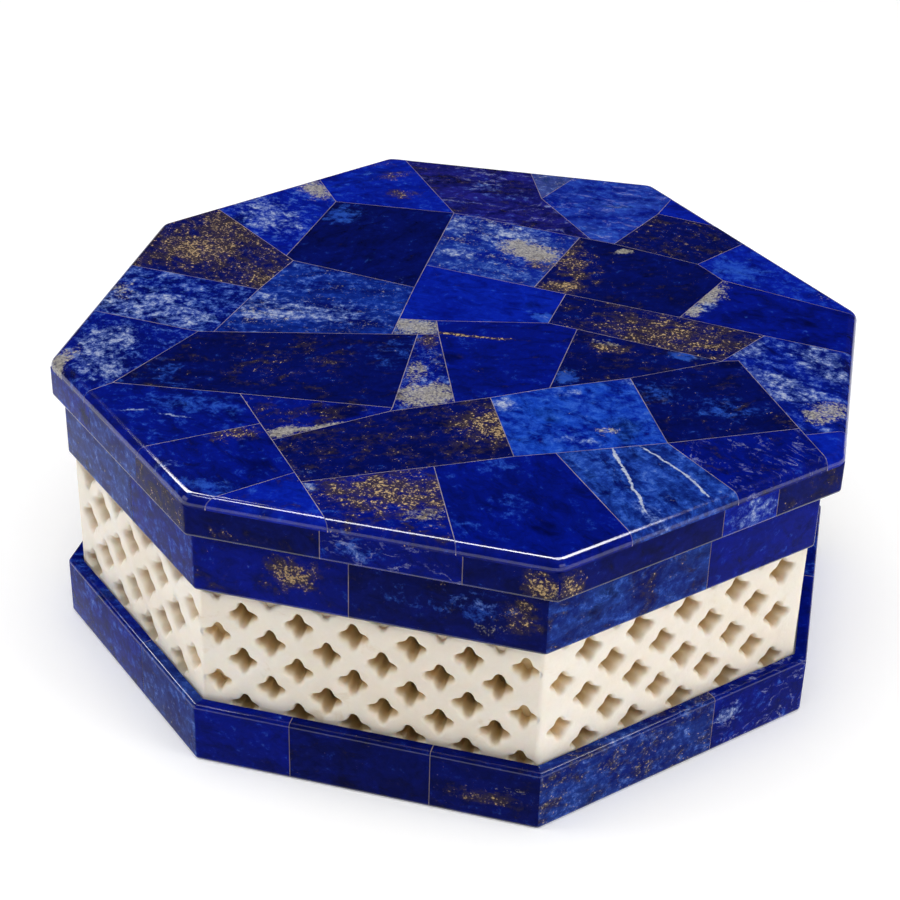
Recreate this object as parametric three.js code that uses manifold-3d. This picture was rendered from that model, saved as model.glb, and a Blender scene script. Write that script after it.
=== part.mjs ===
// Octagonal marble jewelry box faced with lapis lazuli.
// Millimetres, +Z up, front towards -Y. The origin is the middle of the underside.
// A pierced marble drum stands in a base band of stone slices and carries a rim band,
// and a marble lid under a crazy paving of stone slices lifts off its top.

import * as THREE from 'three';
import { mergeGeometries, mergeVertices } from 'three/addons/utils/BufferGeometryUtils.js';
import Module from 'manifold-3d';

const wasm = await Module();
wasm.setup();

// The lid's outline, corner by corner from the left front corner, counter-clockwise.
// It was cut by eye: the sides differ by a few millimetres.
const OUTLINE = [
  [-75, -33], [-35, -72], [32, -75.5], [76.5, -29],
  [75.6, 26.5], [26.8, 75.5], [-34, 74], [-73.2, 28],
].map(([x, y]) => new THREE.Vector2(x, y));

// Heights above the table
const BASE_TOP = 13;
const RIM_BOTTOM = 38.5;
const LID_BOTTOM = 52;
const TOP = 60.5;
const FLOOR = 9;

// Distances inwards from the lid's outline
const BASE_INSET = 0.9;
const RIM_INSET = 2.6;
const MARBLE_INSET = 3.7;
const WALL = 5;

// Stone slices and the glue behind them
const TOP_SLICE = 2.2;
const EDGE_SLICE = 2.4;
const GLUE = 0.2;
const SEAM = 0.3;
const SEAM_DEPTH = 0.4;

// Edges and corners
const NOSE = 1.8;
const NOSE_STEPS = 2;
const LID_CORNER = 3.5;
const BAND_CORNER = 1.2;
const BAND_EASE = 0.7;
const LID_CORNER_STEPS = 2;
const BAND_CORNER_STEPS = 1;

// Lid: it sits a little to the right, and a panel below it drops into the box
const LID_SHIFT = 0.8;
const MIDDLE_X = 1.5;
const PANEL_DEPTH = 3;
const PANEL_PLAY = 1.6;

// Pierced work: staggered rows of four-lobed holes
const HOLE_REACH = 2.6;
const HOLE_WAIST = 1.65;
const HOLE_LOBES = 4;
const ROWS = 5;
// By side: the first hole along it, the pitch along it, the height of the first row and the pitch of the rows
const GRIDS = [
  [5.2, 12.5, 14.6, 5.6], [7.9, 10.65, 12.8, 5.2], [10.2, 11.3, 14, 5.2], [7.2, 10.6, 12.8, 5.2],
  [6.6, 11.1, 12.8, 5.2], [8.4, 10.6, 12.8, 5.2], [9.8, 11.1, 12.8, 5.2], [7.8, 10.6, 12.8, 5.2],
];
const HOLES_BOTTOM = 12.8;
const CORNER_CLEAR = 3.2;
const POCKET_WITHIN = 5;
const POCKET_DEPTH = 3;
const POCKET_SCALE = 0.85;

// Distances of the slices' seams along each side, from the side's first corner
const LID_SEAMS = [[17.5, 37], [24.8, 50.3], [36, 48.7], [20, 42], [15, 33, 50], [28], [22, 45], [12, 40]];
const RIM_SEAMS = [[30], [30], [37.2], [25], [18, 44], [33], [27], [22, 46]];
const BASE_SEAMS = [[33.5], [19, 46], [41], [28], [35], [20, 42], [30], [26, 50]];

// Corners of the lid's slices on its outline, by side
const SLICE_CORNERS = {
  // left side and left front side
  la: [-73.8, 7.4], lb: [-74.4, -13], fa: [-64, -43.7], fb: [-48, -59.3],
  // front side and right front side
  ga: [-31, -72.2], gb: [-8.7, -73.4], gc: [14, -74.6], ha: [42.6, -64.4], hb: [59, -47.3], hc: [73.5, -32.1],
  // right side and right back side
  ra: [76.4, -20.7], rb: [75.9, 8.1], rc: [75.6, 24.4], sa: [50.6, 51.6], sb: [45.5, 56.8], sc: [32.4, 69.9],
  // back side and left back side
  ba: [9.9, 75.1], bb: [-1.3, 74.8], bc: [-30.9, 74.1], ca: [-47, 58.7], cb: [-64.6, 38.1],
  // the outline's own corners
  c1: [-75, -33], c2: [-35, -72], c3: [32, -75.5], c4: [76.5, -29],
  c5: [75.6, 26.5], c6: [26.8, 75.5], c7: [-34, 74], c8: [-73.2, 28],
  // inner corners of the back row
  k1: [-43, 19.7], k2: [-41, 18], k3: [-39.7, 47.5], k4: [-13.3, 48.8], k5: [4, 61], k6: [15.4, 44.3],
  k7: [17.8, 44], k8: [23, 43.2], k9: [30.2, 60.2], k10: [41.5, 38.5], k11: [47.5, 32.5],
  // inner corners of the middle row
  m1: [-13.7, 23.2], m2: [-13.8, 13], m3: [-13.7, -0.7], m4: [-13.6, -7.2], m5: [-44.3, 4],
  m6: [-47.7, -15.2], m7: [-50.7, -15.9], m8: [-8.7, -6], m9: [-6.3, 0.4], m10: [-4.7, -4.8],
  m11: [10, 19.4], m12: [16.8, 18.2], m13: [15.5, 5.2], m14: [21.5, 4.2], m15: [40.7, 14.4],
  m16: [58, 11.2], m17: [50.8, -1.2], m18: [54, -0.1],
  // inner corners of the front row
  n1: [-60, -38.7], n2: [-35.7, -36.5], n3: [-6.9, -34.2], n4: [-7, -35.5], n5: [3.9, -29.4],
  n6: [10, -26], n7: [20.2, -19.7], n8: [34.5, -12.1], n9: [67.5, -22.3], n10: [68.7, -24.3],
  n11: [44.5, -33.5], n12: [25.3, -42], n13: [18.2, -45], n14: [5, -51.8], n15: [-16.5, -62.5],
  n16: [-18.4, -59.9], n17: [-25.3, -50.6], n18: [-29, -45.7],
};

// Each slice of the lid's paving, by its corners, from the left back round to the front
const SLICES = [
  'cb k1 k3 ca', 'ca k3 k4 bc c7', 'k3 k1 k2 m2 m1 k4', 'cb c8 la m5 k2 k1', 'la lb m7 m6 m5',
  'lb c1 fa n1 m7', 'n1 n2 n3 m8 m4 m6 m7', 'm5 m6 m4 m3 m2 k2', 'm3 m4 m8 m10 m9', 'm8 n3 n4 n5 m10',
  'm9 m10 n5 n6 n7 m14 m13', 'm1 m2 m3 m9 m13 m12 m11', 'k4 m1 m11 k6', 'k6 m11 m12 m15 k11 k10 k8 k7',
  'k8 k10 sa sb k9', 'k9 sb sc', 'k10 k11 rc c5 sa', 'k11 m15 m16 rb rc', 'm12 m13 m14 m17 m16 m15',
  'm16 m17 m18 n9 n10 ra rb', 'm14 n7 n8 m17', 'm17 n8 n11 n9 m18', 'n6 n13 n12 n11 n8 n7', 'n11 hb hc n10 n9',
  'n10 hc c4 ra', 'n12 ha hb n11', 'n14 gc c3 ha n12 n13', 'n15 gb gc n14', 'n17 n16 n15 n14 n13 n6 n5 n4',
  'n2 n18 n17 n4 n3', 'n16 ga gb n15', 'n18 fb c2 ga n16 n17', 'n1 fa fb n18 n2', 'k4 k6 k7 k5 bb bc',
  'bb k5 ba', 'k5 k7 k8 k9 sc c6 ba',
];

const MARBLE = { color: 0xece2d0, roughness: 0.45, metalness: 0 };
const LAPIS_SHADES = [0x0a1a8c, 0x1428a8, 0x060c50, 0x2a3f9a, 0x4a66b0];
const LAPIS = { roughness: 0.12, metalness: 0 };

/** Moves each side of a closed outline inwards by its own distance. */
function offsetOutline(points, distances) {
  const lines = points.map((point, i) => {
    const next = points[(i + 1) % points.length];
    const along = next.clone().sub(point).normalize();
    const inward = new THREE.Vector2(-along.y, along.x);
    return { point: point.clone().addScaledVector(inward, distances[i]), along };
  });
  return lines.map((line, i) => {
    const last = lines[(i + lines.length - 1) % lines.length];
    const turn = last.along.cross(line.along);
    if (Math.abs(turn) < 1e-4) {
      return line.point.clone();
    }
    const reach = line.point.clone().sub(last.point).cross(line.along) / turn;
    return last.point.clone().addScaledVector(last.along, reach);
  });
}

function inset(distance) {
  return offsetOutline(OUTLINE, OUTLINE.map(() => distance));
}

/** Rounds the corners of a closed outline with arcs of a few chords. */
function rounded(points, radius, steps) {
  return points.flatMap((corner, i) => {
    const before = points[(i + points.length - 1) % points.length].clone().sub(corner).normalize();
    const after = points[(i + 1) % points.length].clone().sub(corner).normalize();
    const half = Math.acos(before.dot(after)) / 2;
    const middle = before.clone().add(after).normalize().multiplyScalar(radius / Math.sin(half)).add(corner);
    const start = corner.clone().addScaledVector(before, radius / Math.tan(half)).sub(middle);
    const sweep = Math.PI - 2 * half;
    return Array.from({ length: steps + 1 }, (_, step) =>
      start.clone().rotateAround(new THREE.Vector2(), (sweep * step) / steps).add(middle));
  });
}

/** A closed solid skinned over a stack of outlines that have the same number of points. */
function loft(layers) {
  const count = layers[0].outline.length;
  const position = layers.flatMap(({ outline, z }) => outline.flatMap((p) => [p.x, p.y, z]));
  const index = [];
  for (let layer = 0; layer + 1 < layers.length; layer += 1) {
    for (let i = 0; i < count; i += 1) {
      const a = layer * count + i;
      const b = layer * count + ((i + 1) % count);
      index.push(a, b, b + count, a, b + count, a + count);
    }
  }
  const lastLayer = (layers.length - 1) * count;
  for (const [a, b, c] of THREE.ShapeUtils.triangulateShape(layers[0].outline, [])) {
    index.push(a, c, b);
  }
  for (const [a, b, c] of THREE.ShapeUtils.triangulateShape(layers.at(-1).outline, [])) {
    index.push(lastLayer + a, lastLayer + b, lastLayer + c);
  }
  const geometry = new THREE.BufferGeometry();
  geometry.setAttribute('position', new THREE.Float32BufferAttribute(position, 3));
  geometry.setIndex(index);
  return geometry;
}

function prism(outline, bottom, top) {
  return loft([{ outline, z: bottom }, { outline, z: top }]);
}

function toSolid(geometry) {
  const bare = geometry.clone();
  bare.deleteAttribute('normal');
  bare.deleteAttribute('uv');
  const merged = mergeVertices(bare, 1e-5);
  return new wasm.Manifold(new wasm.Mesh({
    numProp: 3,
    vertProperties: new Float32Array(merged.attributes.position.array),
    triVerts: new Uint32Array(merged.index.array),
  }));
}

function toGeometry(solid) {
  const mesh = solid.getMesh();
  const geometry = new THREE.BufferGeometry();
  geometry.setAttribute('position', new THREE.BufferAttribute(mesh.vertProperties, 3));
  geometry.setIndex(new THREE.BufferAttribute(mesh.triVerts, 1));
  geometry.computeVertexNormals();
  return geometry;
}

/** The frame of one side of an outline: x along the side, y into the box, z up. */
function sideFrame(outline, side) {
  const start = outline[side];
  const end = outline[(side + 1) % outline.length];
  const along = new THREE.Vector3(end.x - start.x, end.y - start.y, 0);
  const length = along.length();
  along.normalize();
  const inward = new THREE.Vector3(-along.y, along.x, 0);
  const matrix = new THREE.Matrix4().makeBasis(along, inward, new THREE.Vector3(0, 0, 1));
  matrix.setPosition(start.x, start.y, 0);
  return { matrix, length };
}

/** One four-lobed hole, cut square to a side, as a prism that starts outside the wall. */
function holePrism(matrix, along, height, depth, scale) {
  const outline = Array.from({ length: 2 * HOLE_LOBES }, (_, i) => {
    const reach = scale * (i % 2 ? HOLE_WAIST : HOLE_REACH);
    const angle = (Math.PI * i) / HOLE_LOBES;
    return new THREE.Vector2(reach * Math.cos(angle), reach * Math.sin(angle));
  });
  const geometry = prism(outline, -1, depth);
  geometry.rotateX(-Math.PI / 2);
  geometry.translate(along, 0, height);
  return geometry.applyMatrix4(matrix);
}

/**
 * All holes of the pierced wall: through the wall, and shallow pockets beside the corners.
 * The base band hides the lower part of the first row, so only its upper part is cut,
 * and a hole that would meet the rim band is left out.
 */
function piercing() {
  const outline = inset(MARBLE_INSET);
  const cutters = [];
  for (let side = 0; side < outline.length; side += 1) {
    const { matrix, length } = sideFrame(outline, side);
    const [start, pitch, firstRow, rowPitch] = GRIDS[side];
    for (let row = 0; row < ROWS; row += 1) {
      const height = firstRow + row * rowPitch;
      if (height + HOLE_REACH > RIM_BOTTOM) {
        continue;
      }
      const shifted = start - (row % 2 ? pitch / 2 : 0);
      const first = shifted < 1 ? shifted + pitch : shifted;
      for (let along = first; along < length - 1; along += pitch) {
        const pocket = Math.min(along, length - along) < POCKET_WITHIN;
        const place = THREE.MathUtils.clamp(along, CORNER_CLEAR, length - CORNER_CLEAR);
        const depth = pocket ? POCKET_DEPTH : WALL + 1;
        cutters.push(holePrism(matrix, place, height, depth, pocket ? POCKET_SCALE : 1));
      }
    }
  }
  return toSolid(mergeGeometries(cutters));
}

function marbleBody() {
  const drum = loft([
    { outline: inset(MARBLE_INSET), z: 0 },
    { outline: inset(MARBLE_INSET), z: RIM_BOTTOM },
    { outline: inset(RIM_INSET + EDGE_SLICE + GLUE), z: RIM_BOTTOM },
    { outline: inset(RIM_INSET + EDGE_SLICE + GLUE), z: LID_BOTTOM },
  ]);
  const cavity = prism(inset(MARBLE_INSET + WALL), FLOOR, LID_BOTTOM + 1);
  const visible = prism(inset(-1), HOLES_BOTTOM, RIM_BOTTOM);
  const holes = piercing().intersect(toSolid(visible));
  return toSolid(drum).subtract(toSolid(cavity)).subtract(holes);
}

function marbleLid() {
  const side = inset(EDGE_SLICE + GLUE);
  const panel = inset(MARBLE_INSET + WALL + PANEL_PLAY);
  return toSolid(loft([
    { outline: panel, z: LID_BOTTOM - PANEL_DEPTH },
    { outline: panel, z: LID_BOTTOM },
    { outline: side, z: LID_BOTTOM },
    { outline: side, z: TOP - TOP_SLICE },
  ]));
}

/** The polished top as one slab, with its rounded corners and its rounded upper edge. */
function topSlab() {
  const layers = [{ outline: rounded(inset(0), LID_CORNER, LID_CORNER_STEPS), z: TOP - TOP_SLICE }];
  for (let step = 0; step <= NOSE_STEPS; step += 1) {
    const angle = (Math.PI / 2) * (step / NOSE_STEPS);
    const back = NOSE * (1 - Math.cos(angle));
    layers.push({
      outline: rounded(inset(back), LID_CORNER - back, LID_CORNER_STEPS),
      z: TOP - NOSE + NOSE * Math.sin(angle),
    });
  }
  return toSolid(loft(layers));
}

/** Distance from a point to the lid's outline. */
function distanceToOutline(point) {
  return Math.min(...OUTLINE.map((start, i) => {
    const along = OUTLINE[(i + 1) % OUTLINE.length].clone().sub(start).normalize();
    return Math.abs(along.cross(point.clone().sub(start)));
  }));
}

/** One slice of the paving: half a seam back from its neighbours, past the rim where it meets it. */
function topSlice(names, slab) {
  const corners = names.split(' ').map((name) => new THREE.Vector2(...SLICE_CORNERS[name]));
  if (THREE.ShapeUtils.area(corners) < 0) {
    corners.reverse();
  }
  const distances = corners.map((corner, i) => {
    const middle = corner.clone().add(corners[(i + 1) % corners.length]).multiplyScalar(0.5);
    return distanceToOutline(middle) < SEAM ? -1 : SEAM / 2;
  });
  const cutter = prism(offsetOutline(corners, distances), TOP - TOP_SLICE - 1, TOP + 1);
  return toSolid(cutter).intersect(slab);
}

/** A band of stone slices round the box, with a fine groove at each seam. */
function band({ outer, bottom, top, seams, ease }) {
  const chamfer = (z, back) => ({ outline: rounded(inset(outer + back), BAND_CORNER, BAND_CORNER_STEPS), z });
  const ring = toSolid(loft([
    chamfer(bottom, ease.bottom),
    chamfer(bottom + ease.bottom, 0),
    chamfer(top - ease.top, 0),
    chamfer(top, ease.top),
  ].filter((layer, i, all) => i === 0 || layer.z > all[i - 1].z)));
  const core = toSolid(prism(inset(outer + EDGE_SLICE), bottom - 1, top + 1));
  const outline = inset(outer);
  const grooves = outline.flatMap((_, side) => {
    const { matrix } = sideFrame(outline, side);
    return seams[side].map((along) => {
      const cutter = new THREE.BoxGeometry(SEAM, 2 * SEAM_DEPTH, top - bottom + 2);
      cutter.translate(along, 0, (top + bottom) / 2);
      return cutter.applyMatrix4(matrix);
    });
  });
  return ring.subtract(core).subtract(toSolid(mergeGeometries(grooves)));
}

function addPiece(group, name, solid, look) {
  const mesh = new THREE.Mesh(toGeometry(solid), new THREE.MeshStandardMaterial(look));
  mesh.name = name;
  group.add(mesh);
}

const lapis = (shade) => ({ color: LAPIS_SHADES[shade % LAPIS_SHADES.length], ...LAPIS });

const box = new THREE.Group();
box.position.x = -MIDDLE_X;
addPiece(box, 'marble_body', marbleBody(), MARBLE);
addPiece(box, 'base_band', band({
  outer: BASE_INSET, bottom: 0, top: BASE_TOP, seams: BASE_SEAMS, ease: { bottom: BAND_EASE, top: BAND_EASE },
}), lapis(0));
addPiece(box, 'rim_band', band({
  outer: RIM_INSET, bottom: RIM_BOTTOM, top: LID_BOTTOM, seams: RIM_SEAMS, ease: { bottom: BAND_EASE, top: 0 },
}), lapis(1));

const lid = new THREE.Group();
lid.position.x = LID_SHIFT;
box.add(lid);
addPiece(lid, 'marble_lid', marbleLid(), MARBLE);
addPiece(lid, 'lid_edge_band', band({
  outer: 0, bottom: LID_BOTTOM, top: TOP - TOP_SLICE, seams: LID_SEAMS, ease: { bottom: BAND_EASE, top: 0 },
}), lapis(2));
const slab = topSlab();
SLICES.forEach((names, i) => {
  addPiece(lid, `lid_slice_${String(i + 1).padStart(2, '0')}`, topSlice(names, slab), lapis(i));
});

export default box;
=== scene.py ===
"""Octagonal marble jewelry box faced with lapis lazuli: fine shapes, finishes, light and camera.

Drawing units are millimetres in the plan of the lid's outline; every mesh is stored in metres.
"""

import logging
import math
import random
from dataclasses import dataclass
from enum import Enum
from functools import partial

import bpy
from mathutils import Matrix, Vector
from mathutils.geometry import delaunay_2d_cdt


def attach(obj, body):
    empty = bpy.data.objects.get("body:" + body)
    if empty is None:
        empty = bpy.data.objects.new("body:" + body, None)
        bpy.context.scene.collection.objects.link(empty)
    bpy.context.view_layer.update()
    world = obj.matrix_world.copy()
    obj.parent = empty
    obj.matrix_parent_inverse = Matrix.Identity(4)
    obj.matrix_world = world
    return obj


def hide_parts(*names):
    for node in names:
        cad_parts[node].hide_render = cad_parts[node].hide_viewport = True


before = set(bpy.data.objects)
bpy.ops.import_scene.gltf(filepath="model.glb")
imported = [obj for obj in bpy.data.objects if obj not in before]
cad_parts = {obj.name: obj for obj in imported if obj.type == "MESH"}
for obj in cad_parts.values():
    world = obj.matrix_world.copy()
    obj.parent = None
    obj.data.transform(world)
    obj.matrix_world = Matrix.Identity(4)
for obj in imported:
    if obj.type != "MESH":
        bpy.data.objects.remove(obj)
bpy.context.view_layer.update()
LOG = logging.getLogger("jewelry_box")
MM = 0.001
SHARP_ANGLE = math.radians(40)
Vec2 = tuple[float, float]
Vec3 = tuple[float, float, float]

# The lid's outline, corner by corner from the left front corner, counter-clockwise
OUTLINE: list[Vec2] = [
    (-75, -33), (-35, -72), (32, -75.5), (76.5, -29), (75.6, 26.5), (26.8, 75.5), (-34, 74), (-73.2, 28),
]
SIDES = len(OUTLINE)

# Heights above the table
BASE_TOP = 13
RIM_BOTTOM = 38.5
LID_BOTTOM = 52
TOP = 60.5
FLOOR = 9

# Distances inwards from the lid's outline
BASE_INSET = 0.9
RIM_INSET = 2.6
MARBLE_INSET = 3.7
WALL = 5

# Stone slices
TOP_SLICE = 2.2
EDGE_SLICE = 2.4
GLUE = 0.2
SEAM = 0.15
NOSE = 1.8
LID_CORNER = 3.5
BAND_CORNER = 1.2
BAND_EASE = 0.7
LID_SHIFT = 0.8
MIDDLE_X = 1.5

# Pierced work, by side: first hole along it, pitch along it, height of the first row, pitch of the rows
GRIDS = [
    (5.2, 12.5, 14.6, 5.6), (7.9, 10.65, 12.8, 5.2), (10.2, 11.3, 14, 5.2), (7.2, 10.6, 12.8, 5.2),
    (6.6, 11.1, 12.8, 5.2), (8.4, 10.6, 12.8, 5.2), (9.8, 11.1, 12.8, 5.2), (7.8, 10.6, 12.8, 5.2),
]
ROWS = 6
HOLE_REACH = 2.7
CORNER_CLEAR = 3.2
POCKET_WITHIN = 5
POCKET_DEPTH = 3
POCKET_SCALE = 0.85

# Distances of the seams along each side, from the side's first corner
LID_SEAMS = [[17.5, 37], [24.8, 50.3], [36, 48.7], [20, 42], [15, 33, 50], [28], [22, 45], [12, 40]]
RIM_SEAMS = [[30], [30], [37.2], [25], [18, 44], [33], [27], [22, 46]]
BASE_SEAMS = [[33.5], [19, 46], [41], [28], [35], [20, 42], [30], [26, 50]]

# Corners of the lid's slices on its outline, by side, and then inside it, row by row
SLICE_CORNERS: dict[str, Vec2] = {
    "la": (-73.8, 7.4), "lb": (-74.4, -13), "fa": (-64, -43.7), "fb": (-48, -59.3),
    "ga": (-31, -72.2), "gb": (-8.7, -73.4), "gc": (14, -74.6),
    "ha": (42.6, -64.4), "hb": (59, -47.3), "hc": (73.5, -32.1),
    "ra": (76.4, -20.7), "rb": (75.9, 8.1), "rc": (75.6, 24.4),
    "sa": (50.6, 51.6), "sb": (45.5, 56.8), "sc": (32.4, 69.9),
    "ba": (9.9, 75.1), "bb": (-1.3, 74.8), "bc": (-30.9, 74.1), "ca": (-47, 58.7), "cb": (-64.6, 38.1),
    **{f"c{number}": corner for number, corner in enumerate(OUTLINE, 1)},
    "k1": (-43, 19.7), "k2": (-41, 18), "k3": (-39.7, 47.5), "k4": (-13.3, 48.8), "k5": (4, 61),
    "k6": (15.4, 44.3), "k7": (17.8, 44), "k8": (23, 43.2), "k9": (30.2, 60.2), "k10": (41.5, 38.5),
    "k11": (47.5, 32.5),
    "m1": (-13.7, 23.2), "m2": (-13.8, 13), "m3": (-13.7, -0.7), "m4": (-13.6, -7.2), "m5": (-44.3, 4),
    "m6": (-47.7, -15.2), "m7": (-50.7, -15.9), "m8": (-8.7, -6), "m9": (-6.3, 0.4), "m10": (-4.7, -4.8),
    "m11": (10, 19.4), "m12": (16.8, 18.2), "m13": (15.5, 5.2), "m14": (21.5, 4.2), "m15": (40.7, 14.4),
    "m16": (58, 11.2), "m17": (50.8, -1.2), "m18": (54, -0.1),
    "n1": (-60, -38.7), "n2": (-35.7, -36.5), "n3": (-6.9, -34.2), "n4": (-7, -35.5), "n5": (3.9, -29.4),
    "n6": (10, -26), "n7": (20.2, -19.7), "n8": (34.5, -12.1), "n9": (67.5, -22.3), "n10": (68.7, -24.3),
    "n11": (44.5, -33.5), "n12": (25.3, -42), "n13": (18.2, -45), "n14": (5, -51.8), "n15": (-16.5, -62.5),
    "n16": (-18.4, -59.9), "n17": (-25.3, -50.6), "n18": (-29, -45.7),
}

# Each slice of the paving by its corners, in the order of the nodes lid_slice_01, lid_slice_02 and so on
SLICES = [
    "cb k1 k3 ca", "ca k3 k4 bc c7", "k3 k1 k2 m2 m1 k4", "cb c8 la m5 k2 k1", "la lb m7 m6 m5",
    "lb c1 fa n1 m7", "n1 n2 n3 m8 m4 m6 m7", "m5 m6 m4 m3 m2 k2", "m3 m4 m8 m10 m9", "m8 n3 n4 n5 m10",
    "m9 m10 n5 n6 n7 m14 m13", "m1 m2 m3 m9 m13 m12 m11", "k4 m1 m11 k6", "k6 m11 m12 m15 k11 k10 k8 k7",
    "k8 k10 sa sb k9", "k9 sb sc", "k10 k11 rc c5 sa", "k11 m15 m16 rb rc", "m12 m13 m14 m17 m16 m15",
    "m16 m17 m18 n9 n10 ra rb", "m14 n7 n8 m17", "m17 n8 n11 n9 m18", "n6 n13 n12 n11 n8 n7",
    "n11 hb hc n10 n9", "n10 hc c4 ra", "n12 ha hb n11", "n14 gc c3 ha n12 n13", "n15 gb gc n14",
    "n17 n16 n15 n14 n13 n6 n5 n4", "n2 n18 n17 n4 n3", "n16 ga gb n15", "n18 fb c2 ga n16 n17",
    "n1 fa fb n18 n2", "k4 k6 k7 k5 bb bc", "bb k5 ba", "k5 k7 k8 k9 sc c6 ba",
]


# Plane geometry


def rotated(vector: Vec2, angle: float) -> Vec2:
    """Turns a vector counter-clockwise."""
    c, s = math.cos(angle), math.sin(angle)
    return (vector[0] * c - vector[1] * s, vector[0] * s + vector[1] * c)


def offset_outline(points: list[Vec2], distances: list[float]) -> list[Vec2]:
    """Moves each side of a closed counter-clockwise outline inwards.

    Args:
        points: The outline's corners.
        distances: How far each side moves, in the order of the sides.

    Returns:
        The corners where the moved sides meet.
    """
    lines = []
    for i, start in enumerate(points):
        along = (Vector(points[(i + 1) % len(points)]) - Vector(start)).normalized()
        lines.append((Vector(start) + Vector((-along.y, along.x)) * distances[i], along))
    corners = []
    for i, (point, along) in enumerate(lines):
        last_point, last_along = lines[i - 1]
        turn = last_along.x * along.y - last_along.y * along.x
        if abs(turn) < 1e-4:
            corners.append(tuple(point))
            continue
        gap = point - last_point
        reach = (gap.x * along.y - gap.y * along.x) / turn
        corners.append(tuple(last_point + last_along * reach))
    return corners


def inset(distance: float) -> list[Vec2]:
    """The lid's outline moved inwards."""
    return offset_outline(OUTLINE, [distance] * SIDES)


def inward(side: int) -> Vec2:
    """The unit vector that points into the box from one side."""
    (x0, y0), (x1, y1) = OUTLINE[side % SIDES], OUTLINE[(side + 1) % SIDES]
    length = math.hypot(x1 - x0, y1 - y0)
    return (-(y1 - y0) / length, (x1 - x0) / length)


def sweep_at(corner: int) -> float:
    """The turn of the outline at one corner."""
    (ax, ay), (bx, by) = inward(corner - 1), inward(corner)
    return math.atan2(ax * by - ay * bx, ax * bx + ay * by)


def rounded(distance: float, radius: float, steps: int) -> list[Vec2]:
    """The lid's outline moved inwards, with its corners rounded by arcs.

    Args:
        distance: How far every side moves inwards.
        radius: The radius of the corners of that smaller outline.
        steps: How many chords each arc has.

    Returns:
        The points of the outline, steps + 1 for each corner.
    """
    centres = inset(distance + radius)
    points = []
    for i, (cx, cy) in enumerate(centres):
        for step in range(steps + 1):
            nx, ny = rotated(inward(i - 1), sweep_at(i) * step / steps)
            points.append((cx - nx * radius, cy - ny * radius))
    return points


def side_point(side: int, along: float, distance: float) -> Vec2:
    """A point measured along one side."""
    nx, ny = inward(side)
    x, y = OUTLINE[side]
    return (x + ny * along + nx * distance, y - nx * along + ny * distance)


def within(point: Vec2, outline: list[Vec2]) -> bool:
    """Says if a point lies inside a closed outline.

    Args:
        point: The point.
        outline: The outline.

    Returns:
        True inside, False outside.
    """
    x, y = point
    inside = False
    for i, (x0, y0) in enumerate(outline):
        x1, y1 = outline[i - 1]
        if (y0 > y) != (y1 > y) and x < (x1 - x0) * (y - y0) / (y1 - y0) + x0:
            inside = not inside
    return inside


def triangles(loops: list[list[Vec2]]) -> tuple[list[Vec2], list[tuple[int, int, int]]]:
    """Fills the plane between closed loops with triangles that keep to the loops' edges.

    Args:
        loops: The closed loops; they may cross each other.

    Returns:
        The points, and the triangles as counter-clockwise point numbers.
    """
    points: list[Vec2] = []
    edges: list[tuple[int, int]] = []
    for loop in loops:
        start = len(points)
        points.extend(loop)
        edges.extend((start + i, start + (i + 1) % len(loop)) for i in range(len(loop)))
    found, _, faces, *_ = delaunay_2d_cdt([Vector(p) for p in points], edges, [], 0, 1e-5, False)
    return [tuple(p) for p in found], [tuple(f) for f in faces if len(f) == 3]


class Shell:
    """The faces of one mesh, with points that fall together welded into one."""

    def __init__(self) -> None:
        self.points: list[Vec3] = []
        self.numbers: dict[tuple[int, int, int], int] = {}
        self.faces: list[list[int]] = []
        self.looks: list[int] = []

    def number(self, point: Vec3) -> int:
        """The number of a point, which is added if it is new.

        Args:
            point: The point in millimetres.

        Returns:
            Its number in the mesh.
        """
        key = (round(point[0] * 2000), round(point[1] * 2000), round(point[2] * 2000))
        if key not in self.numbers:
            self.numbers[key] = len(self.points)
            self.points.append(point)
        return self.numbers[key]

    def face(self, corners: list[Vec3], look: int = 0) -> None:
        """Adds one face, unless welding has closed it.

        Args:
            corners: Its corners in millimetres.
            look: The number of its material.
        """
        ring = [self.number(c) for c in corners]
        ring = [n for i, n in enumerate(ring) if n != ring[i - 1]]
        if len(ring) > 2 and len(set(ring)) == len(ring):
            self.faces.append(ring)
            self.looks.append(look)

    def skin(self, layers: list[list[Vec3]], look: int = 0, closed: bool = True) -> None:
        """Adds the quads between rows of points.

        Args:
            layers: The rows, all with the same number of points.
            look: The number of their material.
            closed: Whether each row runs back to its first point.
        """
        for low, high in zip(layers, layers[1:]):
            for i in range(len(low) if closed else len(low) - 1):
                j = (i + 1) % len(low)
                self.face([low[i], low[j], high[j], high[i]], look)

    def build(self, name: str, shift: float, looks: list[bpy.types.Material]) -> bpy.types.Object:
        """Makes the object and lets it ride on the box.

        Args:
            name: The object's name.
            shift: How far it moves along x, in millimetres.
            looks: Its materials.

        Returns:
            The new object.
        """
        mesh = bpy.data.meshes.new(name)
        mesh.from_pydata([((x + shift) * MM, y * MM, z * MM) for x, y, z in self.points], [], self.faces)
        for look in looks:
            mesh.materials.append(look)
        mesh.polygons.foreach_set("material_index", self.looks)
        mesh.shade_smooth()
        mesh.set_sharp_from_angle(angle=SHARP_ANGLE)
        mesh.validate()
        piece = bpy.data.objects.new(name, mesh)
        bpy.context.scene.collection.objects.link(piece)
        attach(piece, "root")
        LOG.info("%s: %d faces", name, len(self.faces))
        return piece


def at_height(outline: list[Vec2], z: float) -> list[Vec3]:
    """Lifts an outline to a height."""
    return [(x, y, z) for x, y in outline]


# Shader wiring

Rgb = tuple[float, float, float]
# Name of the point attribute that weighs the painted shade inside the holes
PAINTED_SHADE_DEPTH = "depth"


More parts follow.
